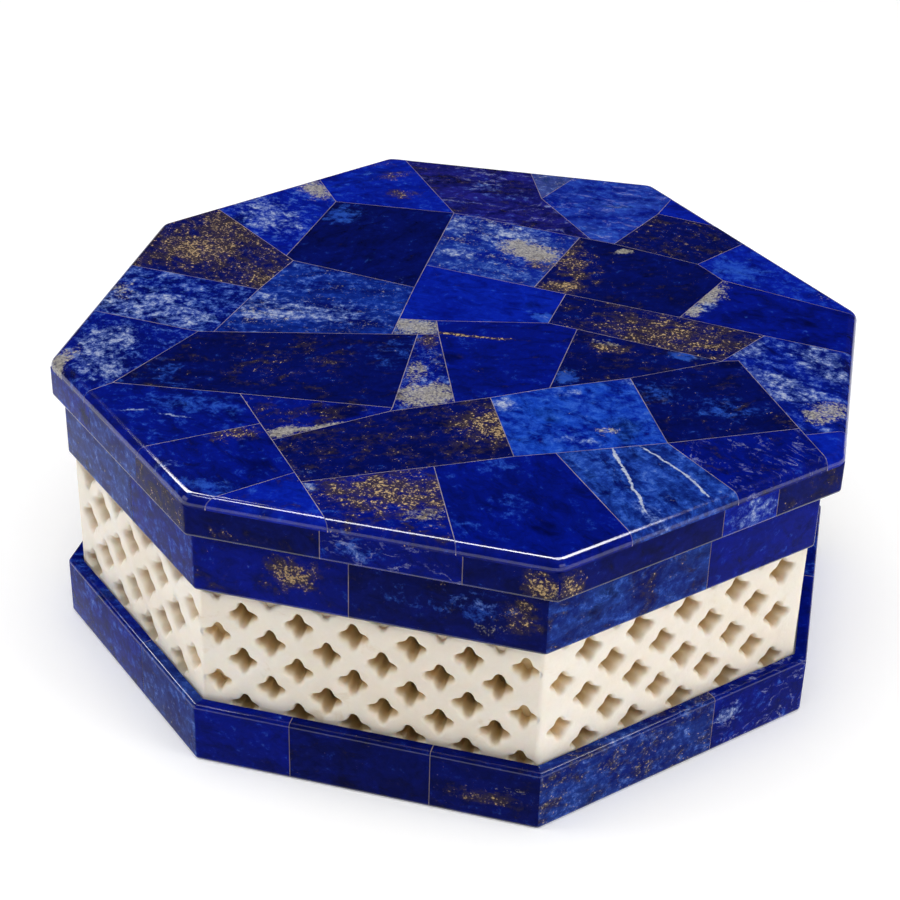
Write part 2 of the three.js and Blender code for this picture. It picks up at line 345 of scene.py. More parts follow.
def shade(red: int, green: int, blue: int) -> Rgb:
    """Turns a colour as the eye names it, 0 to 255, into linear light."""
    parts = (red / 255, green / 255, blue / 255)
    return tuple((c / 12.92) if c <= 0.04045 else ((c + 0.055) / 1.055) ** 2.4 for c in parts)


class Wiring:
    """One material's nodes, added and linked by short calls."""

    def __init__(self, name: str) -> None:
        self.material = bpy.data.materials.new(name)
        self.material.use_nodes = True
        self.tree = self.material.node_tree
        self.shader = next(n for n in self.tree.nodes if n.type == "BSDF_PRINCIPLED")

    def put(self, target: bpy.types.NodeSocket, value: object) -> None:
        """Links a socket or sets its number.

        Args:
            target: The input.
            value: An output to link, or a constant.
        """
        if isinstance(value, bpy.types.NodeSocket):
            self.tree.links.new(value, target)
        else:
            target.default_value = value

    def add(self, kind: str, inputs: dict[int | str, object], **settings: object) -> bpy.types.Node:
        """Adds a node.

        Args:
            kind: The node's type.
            inputs: What goes into its inputs, by name or number.
            settings: Its own settings.

        Returns:
            The node.
        """
        node = self.tree.nodes.new(kind)
        for key, value in settings.items():
            setattr(node, key, value)
        for key, value in inputs.items():
            self.put(node.inputs[key], value)
        return node

    def math(self, operation: str, a: object, b: object = 0.0, clamp: bool = False) -> bpy.types.NodeSocket:
        """Adds a sum, product or other operation on numbers."""
        return self.add("ShaderNodeMath", {0: a, 1: b}, operation=operation, use_clamp=clamp).outputs[0]

    def mix(self, share: object, a: object, b: object) -> bpy.types.NodeSocket:
        """Mixes two colours."""
        colours = [(*c, 1.0) if isinstance(c, tuple) else c for c in (a, b)]
        inputs = {0: share, 6: colours[0], 7: colours[1]}
        return self.add("ShaderNodeMix", inputs, data_type="RGBA").outputs[2]

    def spread(self, value: object, low: float, high: float, soft: bool = False) -> bpy.types.NodeSocket:
        """Maps a range to 0 to 1 and clamps it."""
        kind = "SMOOTHSTEP" if soft else "LINEAR"
        return self.add("ShaderNodeMapRange", {0: value, 1: low, 2: high}, interpolation_type=kind).outputs[0]

    def noise(self, place: object, scale: float, detail: float, rough: float = 0.5,
              warp: float = 0) -> bpy.types.NodeSocket:
        """Adds a fractal noise stretched to fill 0 to 1."""
        inputs = {"Vector": place, "Scale": scale, "Detail": detail, "Roughness": rough, "Distortion": warp}
        return self.spread(self.add("ShaderNodeTexNoise", inputs).outputs[0], 0.27, 0.73)

    def position(self, offset: Vec3 = (0, 0, 0), turn: float = 0, stretch: float = 1) -> bpy.types.NodeSocket:
        """Gives the object's coordinates in millimetres."""
        place = self.add("ShaderNodeTexCoord", {}).outputs["Object"]
        inputs = {0: place, 1: offset, 2: (0, 0, math.radians(turn)), 3: (MM * stretch, MM, MM)}
        return self.add("ShaderNodeMapping", inputs, vector_type="TEXTURE").outputs[0]


class Mineral(Enum):
    """What a patch of the stone holds."""

    AZURE = "azure"
    CALCITE = "calcite"
    SAND = "sand"
    PYRITE = "pyrite"
    DARK = "dark"


@dataclass(frozen=True)
class Patch:
    """A place in a slice where one mineral gathers.

    Attributes:
        mineral: The mineral.
        x: Middle of the patch along x, or along the side on a band, in millimetres.
        y: Middle of the patch along y, or its height on a band.
        length: Half its length.
        width: Half its width.
        turn: Direction of its length in degrees.
        share: How much of it the mineral covers at the middle.
    """

    mineral: Mineral
    x: float
    y: float
    length: float
    width: float
    turn: float = 0
    share: float = 0.8


NAVY = shade(3, 10, 72)
DEEP = shade(4, 16, 102)
ULTRAMARINE = shade(3, 20, 138)
BRIGHT = shade(8, 36, 168)
DENIM = shade(34, 62, 138)
LILAC = shade(70, 70, 136)
COVER = 0.6
THICKEST = 0.4
THIN = 1
TOP_GLOSS = 0.1
SIDE_GLOSS = 0.03


@dataclass(frozen=True)
class Lapis:
    """The look of one slice of lapis lazuli.

    Attributes:
        deep: Its darker blue.
        bright: Its lighter blue.
        azure: How much lighter blue there is away from the patches.
        calcite: How much white calcite there is away from them.
        sand: How much beige there is away from them.
        pyrite: How many pyrite specks there are away from them.
        dark: How much nearly black blue there is away from them.
        streak: Direction in degrees in which the minerals run.
        stretch: How many times longer than wide their traces are.
        veins: Strength of thin pale veins.
        patches: Where the minerals gather.
    """

    deep: Rgb = DEEP
    bright: Rgb = ULTRAMARINE
    azure: float = 0.12
    calcite: float = 0.0
    sand: float = 0.0
    pyrite: float = 0.04
    dark: float = 0.1
    streak: float = 20
    stretch: float = 1.6
    veins: float = 0.0
    patches: tuple[Patch, ...] = ()


@dataclass(frozen=True)
class Spot:
    """A patch placed in space.

    Attributes:
        patch: The patch.
        centre: Its middle in metres.
        turn: Direction of its length about the vertical, in degrees.
        size: Its half sizes in metres.
    """

    patch: Patch
    centre: Vec3
    turn: float
    size: Vec3


class LapisFinish:
    """Makes the polished stone of one slice from its look."""

    def __init__(self, name: str, look: Lapis, spots: list[Spot], seed: int, gloss: float) -> None:
        self.net = Wiring(name)
        self.look = look
        self.spots = spots
        self.gloss = gloss
        self.chance = random.Random(seed)
        self.place = self.net.add("ShaderNodeTexCoord", {}).outputs["Object"]
        self.plain = self.shifted()
        self.along = self.shifted(look.streak, look.stretch)
        inputs = {"Vector": self.plain, "Scale": 0.35, "Detail": 6.0, "Roughness": 0.62}
        wave = self.net.add("ShaderNodeTexNoise", inputs).outputs[1]
        self.wave = self.vector("SUBTRACT", wave, (0.5, 0.5, 0.5))

    def shifted(self, turn: float = 0, stretch: float = 1) -> bpy.types.NodeSocket:
        """Coordinates shifted by chance, so that no two slices share a pattern."""
        offset = tuple(self.chance.uniform(-0.5, 0.5) for _ in range(3))
        return self.net.position(offset, turn, stretch)

    def vector(self, operation: str, a: object, b: object) -> bpy.types.NodeSocket:
        """Adds an operation on vectors."""
        inputs = {0: a, 3: b} if operation == "SCALE" else {0: a, 1: b}
        return self.net.add("ShaderNodeVectorMath", inputs, operation=operation).outputs[0]

    def density(self, mineral: Mineral) -> object:
        """How much of the stone a mineral covers, place by place.

        Args:
            mineral: The mineral.

        Returns:
            A number or an output.
        """
        net = self.net
        total: object = getattr(self.look, mineral.value) * COVER
        lines: object = 0.0
        for spot in self.spots:
            if spot.patch.mineral is not mineral:
                continue
            reach = (1.4 + 1.3 * spot.patch.width) * MM
            ragged = self.vector("ADD", self.place, self.vector("SCALE", self.wave, reach))
            inputs = {0: ragged, 1: spot.centre, 2: (0, 0, math.radians(spot.turn)), 3: spot.size}
            local = net.add("ShaderNodeMapping", inputs, vector_type="TEXTURE").outputs[0]
            away = net.add("ShaderNodeVectorMath", {0: local}, operation="LENGTH").outputs["Value"]
            falloff = net.spread(away, 1.5, 0.2, True)
            part = net.math("MULTIPLY", falloff, spot.patch.share * COVER)
            if spot.patch.width < THIN:
                lines = net.math("ADD", lines, part)
            else:
                total = net.math("ADD", total, part)
        if mineral is Mineral.CALCITE:
            total = net.math("MINIMUM", total, THICKEST)
        return total if lines == 0.0 else net.math("ADD", total, lines)

    def layer(self, colour: object, field: object, density: object, edge: tuple[float, float], share: float,
              tone: object) -> bpy.types.NodeSocket:
        """Lays one mineral over the stone."""
        net = self.net
        cover = net.spread(net.math("ADD", field, density), *edge, True)
        return net.mix(net.math("MULTIPLY", cover, share), colour, tone)

    def blend(self, a: object, b: object, share: float) -> bpy.types.NodeSocket:
        """The weighted mean of two noises."""
        net = self.net
        return net.math("ADD", net.math("MULTIPLY", a, 1 - share), net.math("MULTIPLY", b, share))

    def make(self) -> bpy.types.Material:
        """Wires the stone.

        Returns:
            The material.
        """
        net, look = self.net, self.look
        broad = net.noise(self.along, 0.1, 3, 0.55, 0.4)
        wisp = net.noise(self.along, 0.3, 7, 0.7, 0.5)
        lace = net.noise(self.plain, 0.58, 7, 0.75, 0.3)
        fleck = net.noise(self.plain, 1.9, 3, 0.7)
        colour = net.mix(net.spread(self.blend(broad, lace, 0.5), 0.22, 0.78), look.deep, look.bright)
        colour = net.mix(net.spread(wisp, 0.6, 0.15), colour, tuple(0.6 * c for c in look.deep))

        milky = self.blend(wisp, lace, 0.6)
        dusty = self.blend(net.math("SUBTRACT", 1.0, wisp), lace, 0.5)
        colour = self.layer(colour, broad, self.density(Mineral.DARK), (0.75, 1.1), 0.8, shade(1, 4, 44))
        azure_tone = net.mix(lace, shade(14, 50, 176), shade(54, 106, 204))
        colour = self.layer(colour, milky, self.density(Mineral.AZURE), (0.66, 1.02), 0.65, azure_tone)
        chalk = self.density(Mineral.CALCITE)
        colour = self.layer(colour, milky, chalk, (0.76, 1.0), 0.55, shade(84, 112, 180))
        chalk_tone = net.mix(fleck, shade(128, 144, 186), shade(216, 220, 224))
        colour = self.layer(colour, milky, chalk, (0.9, 1.16), 0.85, chalk_tone)
        earth = self.density(Mineral.SAND)
        if earth != 0.0:
            earth_tone = net.mix(fleck, shade(78, 76, 80), shade(200, 194, 178))
            gritty = self.blend(dusty, fleck, 0.4)
            colour = self.layer(colour, gritty, earth, (0.76, 1.02), 0.82, earth_tone)
        sparkle = self.density(Mineral.PYRITE)
        colour = self.layer(colour, dusty, sparkle, (0.7, 1.06), 0.7, shade(60, 50, 50))
        presence = net.math("ADD", net.math("MULTIPLY", dusty, 0.3), net.math("MULTIPLY", sparkle, 0.8))
        grains = self.blend(lace, fleck, 0.65)
        specks = net.spread(net.math("ADD", grains, presence), 1.1, 1.24)
        colour = net.mix(specks, colour, net.mix(fleck, shade(92, 74, 58), shade(206, 176, 128)))
        if look.veins:
            ridge = net.math("ABSOLUTE", net.math("SUBTRACT", net.noise(self.along, 0.13, 7, 0.62, 0.6), 0.5))
            broken = net.math("MULTIPLY", net.spread(ridge, 0.035, 0.006, True), net.spread(wisp, 0.45, 0.75))
            colour = net.mix(net.math("MULTIPLY", broken, look.veins), colour, shade(168, 174, 206))
        net.put(net.shader.inputs["Base Color"], colour)
        net.put(net.shader.inputs["Roughness"], net.math("ADD", net.math("MULTIPLY", specks, 0.25), 0.09))
        net.put(net.shader.inputs["Specular IOR Level"], self.gloss)
        pits = net.add("ShaderNodeBump", {"Strength": 0.05, "Distance": 0.2 * MM, "Height": wisp})
        net.put(net.shader.inputs["Normal"], pits.outputs[0])
        return net.material


def polished(stone: bpy.types.Material) -> bpy.types.Material:
    """The same stone on a rounded edge, where the polish catches the light.

    Args:
        stone: The stone of the flat face.

    Returns:
        The edge's material.
    """
    edge = stone.copy()
    edge.name = f"{stone.name}_edge"
    shader = next(n for n in edge.node_tree.nodes if n.type == "BSDF_PRINCIPLED")
    shader.inputs["Specular IOR Level"].default_value = 0.5
    shader.inputs["Coat Weight"].default_value = 0.15
    shader.inputs["Coat Roughness"].default_value = 0.05
    return edge


def marble_finish() -> bpy.types.Material:
    """Cream marble, softly polished, with painted warm shade deep in the holes, that lets a little light
    through.

    Returns:
        The material.
    """
    net = Wiring("cream_marble")
    place = net.position()
    cloud = net.noise(place, 0.045, 6, 0.6, 0.5)
    colour = net.mix(cloud, shade(244, 237, 226), shade(234, 222, 204))
    stain_and_shade = net.spread(net.noise(place, 0.12, 7, 0.65, 0.6), 0.7, 1.0, True)
    colour = net.mix(net.math("MULTIPLY", stain_and_shade, 0.45), colour, shade(212, 188, 150))
    grain = net.noise(place, 1.6, 4, 0.7)
    colour = net.mix(net.math("MULTIPLY", grain, 0.07), colour, shade(190, 172, 146))
    # Painted shade: the deeper a point lies inside a hole, the more warm tan is mixed in
    depth = net.add("ShaderNodeAttribute", {}, attribute_name=PAINTED_SHADE_DEPTH).outputs["Fac"]
    colour = net.mix(net.spread(depth, 0.1, 2.6), colour, shade(230, 204, 156))
    net.put(net.shader.inputs["Base Color"], colour)
    net.put(net.shader.inputs["Roughness"], net.math("ADD", net.math("MULTIPLY", cloud, 0.12), 0.4))
    net.put(net.shader.inputs["Subsurface Weight"], 0.5)
    net.put(net.shader.inputs["Subsurface Radius"], (1.0, 0.72, 0.44))
    net.put(net.shader.inputs["Subsurface Scale"], 1.4 * MM)
    relief = net.noise(place, 0.45, 4, 0.55)
    chisel = net.add("ShaderNodeBump", {"Strength": 0.3, "Distance": 0.25 * MM, "Height": relief})
    net.put(net.shader.inputs["Normal"], chisel.outputs[0])
    return net.material


def filler_finish(name: str, low: Rgb, high: Rgb) -> bpy.types.Material:
    """The set filler of the seams.

    Args:
        name: The material's name.
        low: Its darker tone.
        high: Its lighter tone.

    Returns:
        The material.
    """
    net = Wiring(name)
    place = net.position()
    net.put(net.shader.inputs["Base Color"], net.mix(net.noise(place, 0.16, 6, 0.7), low, high))
    rough = net.math("MULTIPLY", net.noise(place, 0.8, 3), 0.15)
    net.put(net.shader.inputs["Roughness"], net.math("ADD", rough, 0.3))
    return net.material


# The box's pieces


@dataclass
class Paving:
    """The polished top: slices of stone with their rounded outer edge, and the filler between them.

    Attributes:
        looks: The look of each slice, in order.
        nose_steps: Chords of the rounded edge.
        corner_steps: Chords of each rounded corner.
        filler_drop: How far the filler lies below the stone.
        shift: How far it moves along x.
    """

    looks: list[Lapis]
    nose_steps: int = 8
    corner_steps: int = 8
    filler_drop: float = 0.03
    shift: float = LID_SHIFT - MIDDLE_X

    def depth(self, point: Vec2) -> float:
        """How far inside the rounded outline a point lies.

        Args:
            point: The point.

        Returns:
            The distance in millimetres.
        """
        for i, centre in enumerate(inset(LID_CORNER)):
            dx, dy = point[0] - centre[0], point[1] - centre[1]
            before, after = inward(i - 1), inward(i)
            if before[0] * -dy - before[1] * -dx >= 0 and -dx * after[1] + dy * after[0] >= 0:
                return LID_CORNER - math.hypot(dx, dy)
        gaps = []
        for side in range(SIDES):
            nx, ny = inward(side)
            gaps.append((point[0] - OUTLINE[side][0]) * nx + (point[1] - OUTLINE[side][1]) * ny)
        return min(gaps)

    def height(self, point: Vec2) -> float:
        """Height of the polished surface over a point of the plan."""
        back = min(max(self.depth(point), 0), NOSE)
        return TOP - NOSE + math.sqrt(max(NOSE**2 - (NOSE - back) ** 2, 0))

    def slice_outline(self, names: str) -> list[Vec2]:
        """The outline of one slice, half a seam back from its neighbours.

        Args:
            names: Its corners' names.

        Returns:
            The outline; it runs past the rim where the slice meets it.
        """
        corners = [SLICE_CORNERS[name] for name in names.split()]
        area = sum(a[0] * b[1] - b[0] * a[1] for a, b in zip(corners, corners[1:] + corners[:1]))
        if area < 0:
            corners.reverse()
        moves = []
        for a, b in zip(corners, corners[1:] + corners[:1]):
            middle = ((a[0] + b[0]) / 2, (a[1] + b[1]) / 2)
            edge = min(abs((middle[0] - x) * nx + (middle[1] - y) * ny)
                       for (x, y), (nx, ny) in zip(OUTLINE, map(inward, range(SIDES))))
            moves.append(-1.0 if edge < SEAM else SEAM / 2)
        return offset_outline(corners, moves)

    def sheet(self, shell: Shell, points: list[Vec2], faces: list[tuple[int, ...]], top: list[float],
              bottom: float) -> None:
        """Makes a closed slab from a patch of triangles.

        Args:
            shell: The mesh to add to.
            points: The plan's points.
            faces: The triangles.
            top: The height over each point.
            bottom: The height of the flat underside.
        """
        edges = {(a, b) for f in faces for a, b in zip(f, f[1:] + f[:1])}
        flat = max(top) - 0.001
        for face in faces:
            shell.face([(*points[n], top[n]) for n in face], int(min(top[n] for n in face) < flat))
            shell.face([(*points[n], bottom) for n in reversed(face)])
        for a, b in edges:
            if (b, a) not in edges:
                shell.face([(*points[a], bottom), (*points[b], bottom),
                            (*points[b], top[b]), (*points[a], top[a])])

    def build(self) -> None:
        """Builds the slices and the filler and dresses them."""
        contours = []
        for step in range(self.nose_steps + 1):
            back = NOSE * (1 - math.cos(math.pi / 2 * step / self.nose_steps))
            contours.append(rounded(back, LID_CORNER - back, self.corner_steps))
        outlines = [self.slice_outline(names) for names in SLICES]
        points, faces = triangles(contours + outlines)
        tops = [self.height(p) for p in points]
        groups: list[list[tuple[int, ...]]] = [[] for _ in SLICES]
        filler: list[tuple[int, ...]] = []
        for face in faces:
            middle = tuple(sum(points[n][k] for n in face) / 3 for k in (0, 1))
            if not within(middle, contours[0]):
                continue
            home = next((i for i, outline in enumerate(outlines) if within(middle, outline)), None)
            (filler if home is None else groups[home]).append(face)
        underside = TOP - TOP_SLICE
        for i, group in enumerate(groups):
            node = f"lid_slice_{i + 1:02d}"
            shell = Shell()
            self.sheet(shell, points, group, tops, underside)
            stone = self.finish(i)
            piece = shell.build(f"top_slice_{i + 1:02d}", self.shift, [stone, polished(stone)])
            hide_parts(node)
        shell = Shell()
        self.sheet(shell, points, filler, [z - self.filler_drop for z in tops], underside)
        cream = filler_finish("cream_filler", shade(66, 62, 108), shade(180, 164, 170))
        faint = filler_finish("nose_filler", shade(34, 38, 104), shade(104, 100, 148))
        piece = shell.build("seam_filler", self.shift, [cream, faint])

    def finish(self, number: int) -> bpy.types.Material:
        """The stone of one slice.

        Args:
            number: The slice's place in the list.

        Returns:
            The material.
        """
        look = self.looks[number]
        spots = [
            Spot(p, ((p.x + self.shift) * MM, p.y * MM, TOP * MM), p.turn, (p.length * MM, p.width * MM, 1.0))
            for p in look.patches
        ]
        return LapisFinish(f"lapis_top_{number + 1:02d}", look, spots, 100 + number, TOP_GLOSS).make()


@dataclass
class Band:
    """A ring of stone slices round the box, mitred at the corners.

    Attributes:
        node: The node it replaces.
        name: Its own name.
        slot: Its finish in the record; not used.
        outer: Distance of its face inwards from the outline.
        bottom: Height of its underside.
        top: Height of its upper edge.
        seams: Distances of the seams along each side.
        looks: The look of each slice, side by side, from the side's first corner.
        ease_bottom: Rounding of its lower edge.
        ease_top: Rounding of its upper edge.
        shift: How far it moves along x.
        corner_steps: Chords of each rounded corner.
        ease_steps: Chords of each rounded edge.
        groove: Depth of the seams.
    """

    node: str
    name: str
    slot: str
    outer: float
    bottom: float
    top: float
    seams: list[list[float]]
    looks: list[list[Lapis]]
    ease_bottom: float = BAND_EASE
    ease_top: float = 0.0
    shift: float = -MIDDLE_X
    corner_steps: int = 6
    ease_steps: int = 5
    groove: float = 0.04

    def profile(self, recess: float) -> list[Vec2]:
        """The section of the band, as distance inwards and height.

        Args:
            recess: How far its face lies behind the stone's.

        Returns:
            The closed section.
        """
        def arc(radius: float, upper: bool) -> list[Vec2]:
            """The rounded edge at the top or the bottom, by its radius."""
            points = []
            for step in range(self.ease_steps + 1):
                angle = math.pi / 2 * step / self.ease_steps
                back = radius * (1 - (math.cos(angle) if upper else math.sin(angle)))
                rise = radius * (1 - (math.sin(angle) if upper else math.cos(angle)))
                points.append((self.outer + recess + back, self.top - rise if upper else self.bottom + rise))
            return points

        inner = self.outer + EDGE_SLICE
        lower = arc(self.ease_bottom, False) if self.ease_bottom else [(self.outer + recess, self.bottom)]
        upper = arc(self.ease_top, True) if self.ease_top else [(self.outer + recess, self.top)]
        return [(inner, self.bottom), *lower, *upper, (inner, self.top)]

    def station(self, corner: int, share: float, distance: float) -> Vec2:
        """A point of a rounded corner.

        Args:
            corner: The corner's number.
            share: How far round the corner, from 0 to 1.
            distance: Distance inwards from the outline.

        Returns:
            The point in the plan.
        """
        radius = BAND_CORNER - (distance - self.outer)
        if radius < 0.02:
            return inset(distance)[corner % SIDES]
        cx, cy = inset(self.outer + BAND_CORNER)[corner % SIDES]
        nx, ny = rotated(inward(corner - 1), sweep_at(corner) * share)
        return (cx - nx * radius, cy - ny * radius)

    def rows(self, side: int, ends: tuple[float | None, float | None], recess: float) -> list[list[Vec3]]:
        """The sections of one slice, from its first end to its last.

        Args:
            side: The side's number.
            ends: Distances of its ends along the side; None is the corner.
            recess: How far its face lies behind the stone's.

        Returns:
            The sections as rows of points.
        """
        profile = self.profile(recess)
        half = self.corner_steps // 2
        turns = (range(half, self.corner_steps + 1), range(half + 1))
        rows = []
        for corner, mark, steps in zip((side, side + 1), ends, turns):
            if mark is None:
                rows += [[(*self.station(corner, step / self.corner_steps, d), z) for d, z in profile]
                         for step in steps]
            else:
                rows.append([(*side_point(side, mark, d), z) for d, z in profile])
        return rows

    def build(self) -> None:
        """Builds the slices and their seams and dresses them."""
        shell = Shell()
        finishes = [filler_finish(f"{self.name}_filler", shade(84, 76, 92), shade(158, 140, 134))]
        for side in range(SIDES):
            marks = self.seams[side]
            starts = [None, *(m + SEAM / 2 for m in marks)]
            ends = [*(m - SEAM / 2 for m in marks), None]
            for part, (start, end) in enumerate(zip(starts, ends)):
                stone = self.finish(side, part)
                finishes += [stone, polished(stone)]
                self.slice(shell, self.rows(side, (start, end), 0), len(finishes) - 2)
            for mark in marks:
                shell.skin(self.rows(side, (mark - SEAM / 2, mark + SEAM / 2), self.groove)[::-1], 0)
        piece = shell.build(self.name, self.shift, finishes)
        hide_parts(self.node)

    def slice(self, shell: Shell, rows: list[list[Vec3]], look: int) -> None:
        """Adds the faces of one slice, with the polish on its rounded edges.

        Args:
            shell: The mesh to add to.
            rows: The slice's sections.
            look: The number of its stone; the next number is the polished edge.
        """
        below = self.ease_steps if self.ease_bottom else 0
        above = self.ease_steps if self.ease_top else 0
        for low, high in zip(rows, rows[1:]):
            last = len(low) - 2
            for i in range(len(low)):
                j = (i + 1) % len(low)
                on_edge = 1 <= i <= below or last - above <= i < last
                shell.face([low[i], high[i], high[j], low[j]], look + int(on_edge))

    def finish(self, side: int, part: int) -> bpy.types.Material:
        """The stone of one slice.

        Args:
            side: The side's number.
            part: The slice's place along the side.

        Returns:
            The material.
        """
        look = self.looks[side][part]
        nx, ny = inward(side)
        heading = math.degrees(math.atan2(-nx, ny))
        spots = []
        for p in look.patches:
            x, y = side_point(side, p.x, self.outer)
            centre = ((x + self.shift) * MM, y * MM, p.y * MM)
            spots.append(Spot(p, centre, heading, (p.length * MM, 20 * MM, p.width * MM)))
        seed = 1000 + 100 * int(self.top) + 10 * side + part
        return LapisFinish(f"{self.name}_stone_{side}{part}", look, spots, seed, SIDE_GLOSS).make()


@dataclass(frozen=True)
class Hole:
    """One four-lobed hole of the pierced wall.

    Attributes:
        along: Its middle along the side.
        height: Its middle's height.
        depth: How deep it goes.
        scale: Its size against a full hole.
        lean: Where its longest lobe points, in radians.
        twist: How far it is turned, in radians.
    """

    along: float
    height: float
    depth: float
    scale: float
    lean: float
    twist: float


@dataclass
class PiercedBody:
    """The marble bowl with its pierced wall.

    Attributes:
        lobe_steps: Points round each hole.
        corner: Radius of the drum's soft corners.
        corner_steps: Chords of each of these corners.
        ease_steps: Chords of the holes' rounded mouths.
        foot: Height up to which its wall is plain.
        ease: Rounding of the holes' mouths, by side.
        width: How much wider than usual the holes are, by side.
        stain_and_shade: How strongly painted shade tints the holes' insides, by side.
        taper: How much narrower the holes are at the back.
        graze: Depth of the holes that the rim band half hides.
    """

    lobe_steps: int = 32
    corner: float = 1.2
    corner_steps: int = 4
    ease_steps: int = 4
    foot: float = 9.6
    ease: tuple[float, ...] = (1.0, 0.75, 0.8, 0.75, 0.75, 0.75, 0.75, 0.75)
    width: tuple[float, ...] = (1.18, 1.03, 1.04, 1, 1, 1, 1, 1)
    stain_and_shade: tuple[float, ...] = (0.5, 1, 0.8, 0.8, 0.8, 0.8, 0.8, 0.8)
    taper: float = 0.3
    graze: float = 0.9

    def lobed(self, hole: "Hole", grow: float) -> list[Vec2]:
        """The outline of one hole on the unrolled wall.

        Args:
            hole: The hole.
            grow: How much wider than the hole's throat it is.

        Returns:
            The outline.
        """
        points = []
        for i in range(self.lobe_steps):
            angle = 2 * math.pi * i / self.lobe_steps
            uneven = 1 + 0.05 * math.cos(angle + hole.lean) + 0.04 * math.cos(3 * angle + 2 * hole.lean)
            reach = hole.scale * uneven * (2.18 + 0.5 * math.cos(4 * (angle + hole.twist))) + grow
            points.append((hole.along + reach * math.cos(angle), hole.height + reach * math.sin(angle)))
        return points

    def holes(self, side: int, length: float) -> list["Hole"]:
        """Where the holes of one side are.

        Args:
            side: The side's number.
            length: Its length.

        Returns:
            The holes, each a little uneven.
        """
        chance = random.Random(side)
        start, pitch, first, rise = GRIDS[side]
        found = []
        for row in range(ROWS):
            height = first + row * rise
            if height - HOLE_REACH > RIM_BOTTOM:
                continue
            shifted = start - (pitch / 2 if row % 2 else 0)
            along = shifted + pitch if shifted < 1 else shifted
            while along < length - 1:
                depth = WALL if min(along, length - along) >= POCKET_WITHIN else POCKET_DEPTH
                if height > RIM_BOTTOM - 0.5:
                    depth = self.graze
                place = min(max(along, CORNER_CLEAR), length - CORNER_CLEAR)
                scale = self.width[side] * (1 if depth == WALL else POCKET_SCALE) * chance.uniform(0.96, 1.06)
                middle = (place + chance.uniform(-0.15, 0.15), height + chance.uniform(-0.12, 0.12))
                lean = chance.uniform(0, 2 * math.pi)
                found.append(Hole(*middle, depth, scale, lean, chance.uniform(-0.07, 0.07)))
                along += pitch
        return found

    def wall(self, shell: Shell, side: int) -> None:
        """Adds one side of the wall, inside and outside, with its holes.

        Args:
            shell: The mesh to add to.
            side: The side's number.
        """
        outer = inset(MARBLE_INSET)
        length = math.dist(outer[side], outer[(side + 1) % SIDES])
        nx, ny = inward(side)
        x0, y0 = outer[side]
        run = self.corner_steps + 1
        drum = rounded(MARBLE_INSET, self.corner, self.corner_steps)
        cavity = inset(MARBLE_INSET + WALL)

        def along(point: Vec2) -> float:
            """The distance of a point along the side."""
            return (point[0] - x0) * ny - (point[1] - y0) * nx

        def place(u: float, z: float, depth: float) -> Vec3:
            """The point at a distance along the side, a height and a depth in the wall."""
            return (x0 + ny * u + nx * depth, y0 - nx * u + ny * depth, z)

        after = (side + 1) % SIDES
        front = (along(drum[side * run + run - 1]), along(drum[after * run]), self.foot, RIM_BOTTOM)
        back = (along(cavity[side]), along(cavity[after]), FLOOR, RIM_BOTTOM)
        holes = self.holes(side, length)
        mouths = [self.lobed(hole, self.ease[side]) for hole in holes]
        self.face_with_holes(shell, place, front, mouths, 0, False)
        throats = [self.lobed(hole, -self.taper) for hole in holes if hole.depth == WALL]
        self.face_with_holes(shell, place, back, throats, WALL, True)
        for hole in holes:
            rings = []
            for step in range(self.ease_steps + 1):
                angle = math.pi / 2 * step / self.ease_steps
                grow = self.ease[side] * (1 - math.sin(angle))
                depth = min(self.ease[side] * 1.3, hole.depth) * (1 - math.cos(angle))
                rings.append([place(a, b, depth) for a, b in self.lobed(hole, grow)])
            if hole.depth > 2:
                rings.append([place(a, b, 2) for a, b in self.lobed(hole, -self.taper / 3)])
                rings.append([place(a, b, hole.depth) for a, b in self.lobed(hole, -self.taper)])
            shell.skin(rings)
            if hole.depth < WALL:
                shell.face(rings[-1])

    def face_with_holes(self, shell: Shell, place: object, area: tuple[float, float, float, float],
                        loops: list[list[Vec2]], depth: float, flip: bool) -> None:
        """Fills a rectangle of the wall round its holes.

        Args:
            shell: The mesh to add to.
            place: Turns a point of the unrolled wall into a point in space.
            area: The rectangle: first and last distance along, first and last height.
            loops: The holes' outlines.
            depth: How deep in the wall the face lies.
            flip: Whether the face looks into the box.
        """
        u0, u1, z0, z1 = area
        border = [(u0, z0), (u1, z0), (u1, z1), (u0, z1)]
        points, faces = triangles([border, *loops])
        middles = [tuple(sum(p[k] for p in loop) / len(loop) for k in (0, 1)) for loop in loops]
        for face in faces:
            middle = tuple(sum(points[n][k] for n in face) / 3 for k in (0, 1))
            if not within(middle, border):
                continue
            near = [loop for loop, c in zip(loops, middles) if math.dist(c, middle) < 4]
            if not any(within(middle, loop) for loop in near):
                corners = [place(*points[n], depth) for n in face]
                shell.face(corners[::-1] if flip else corners)

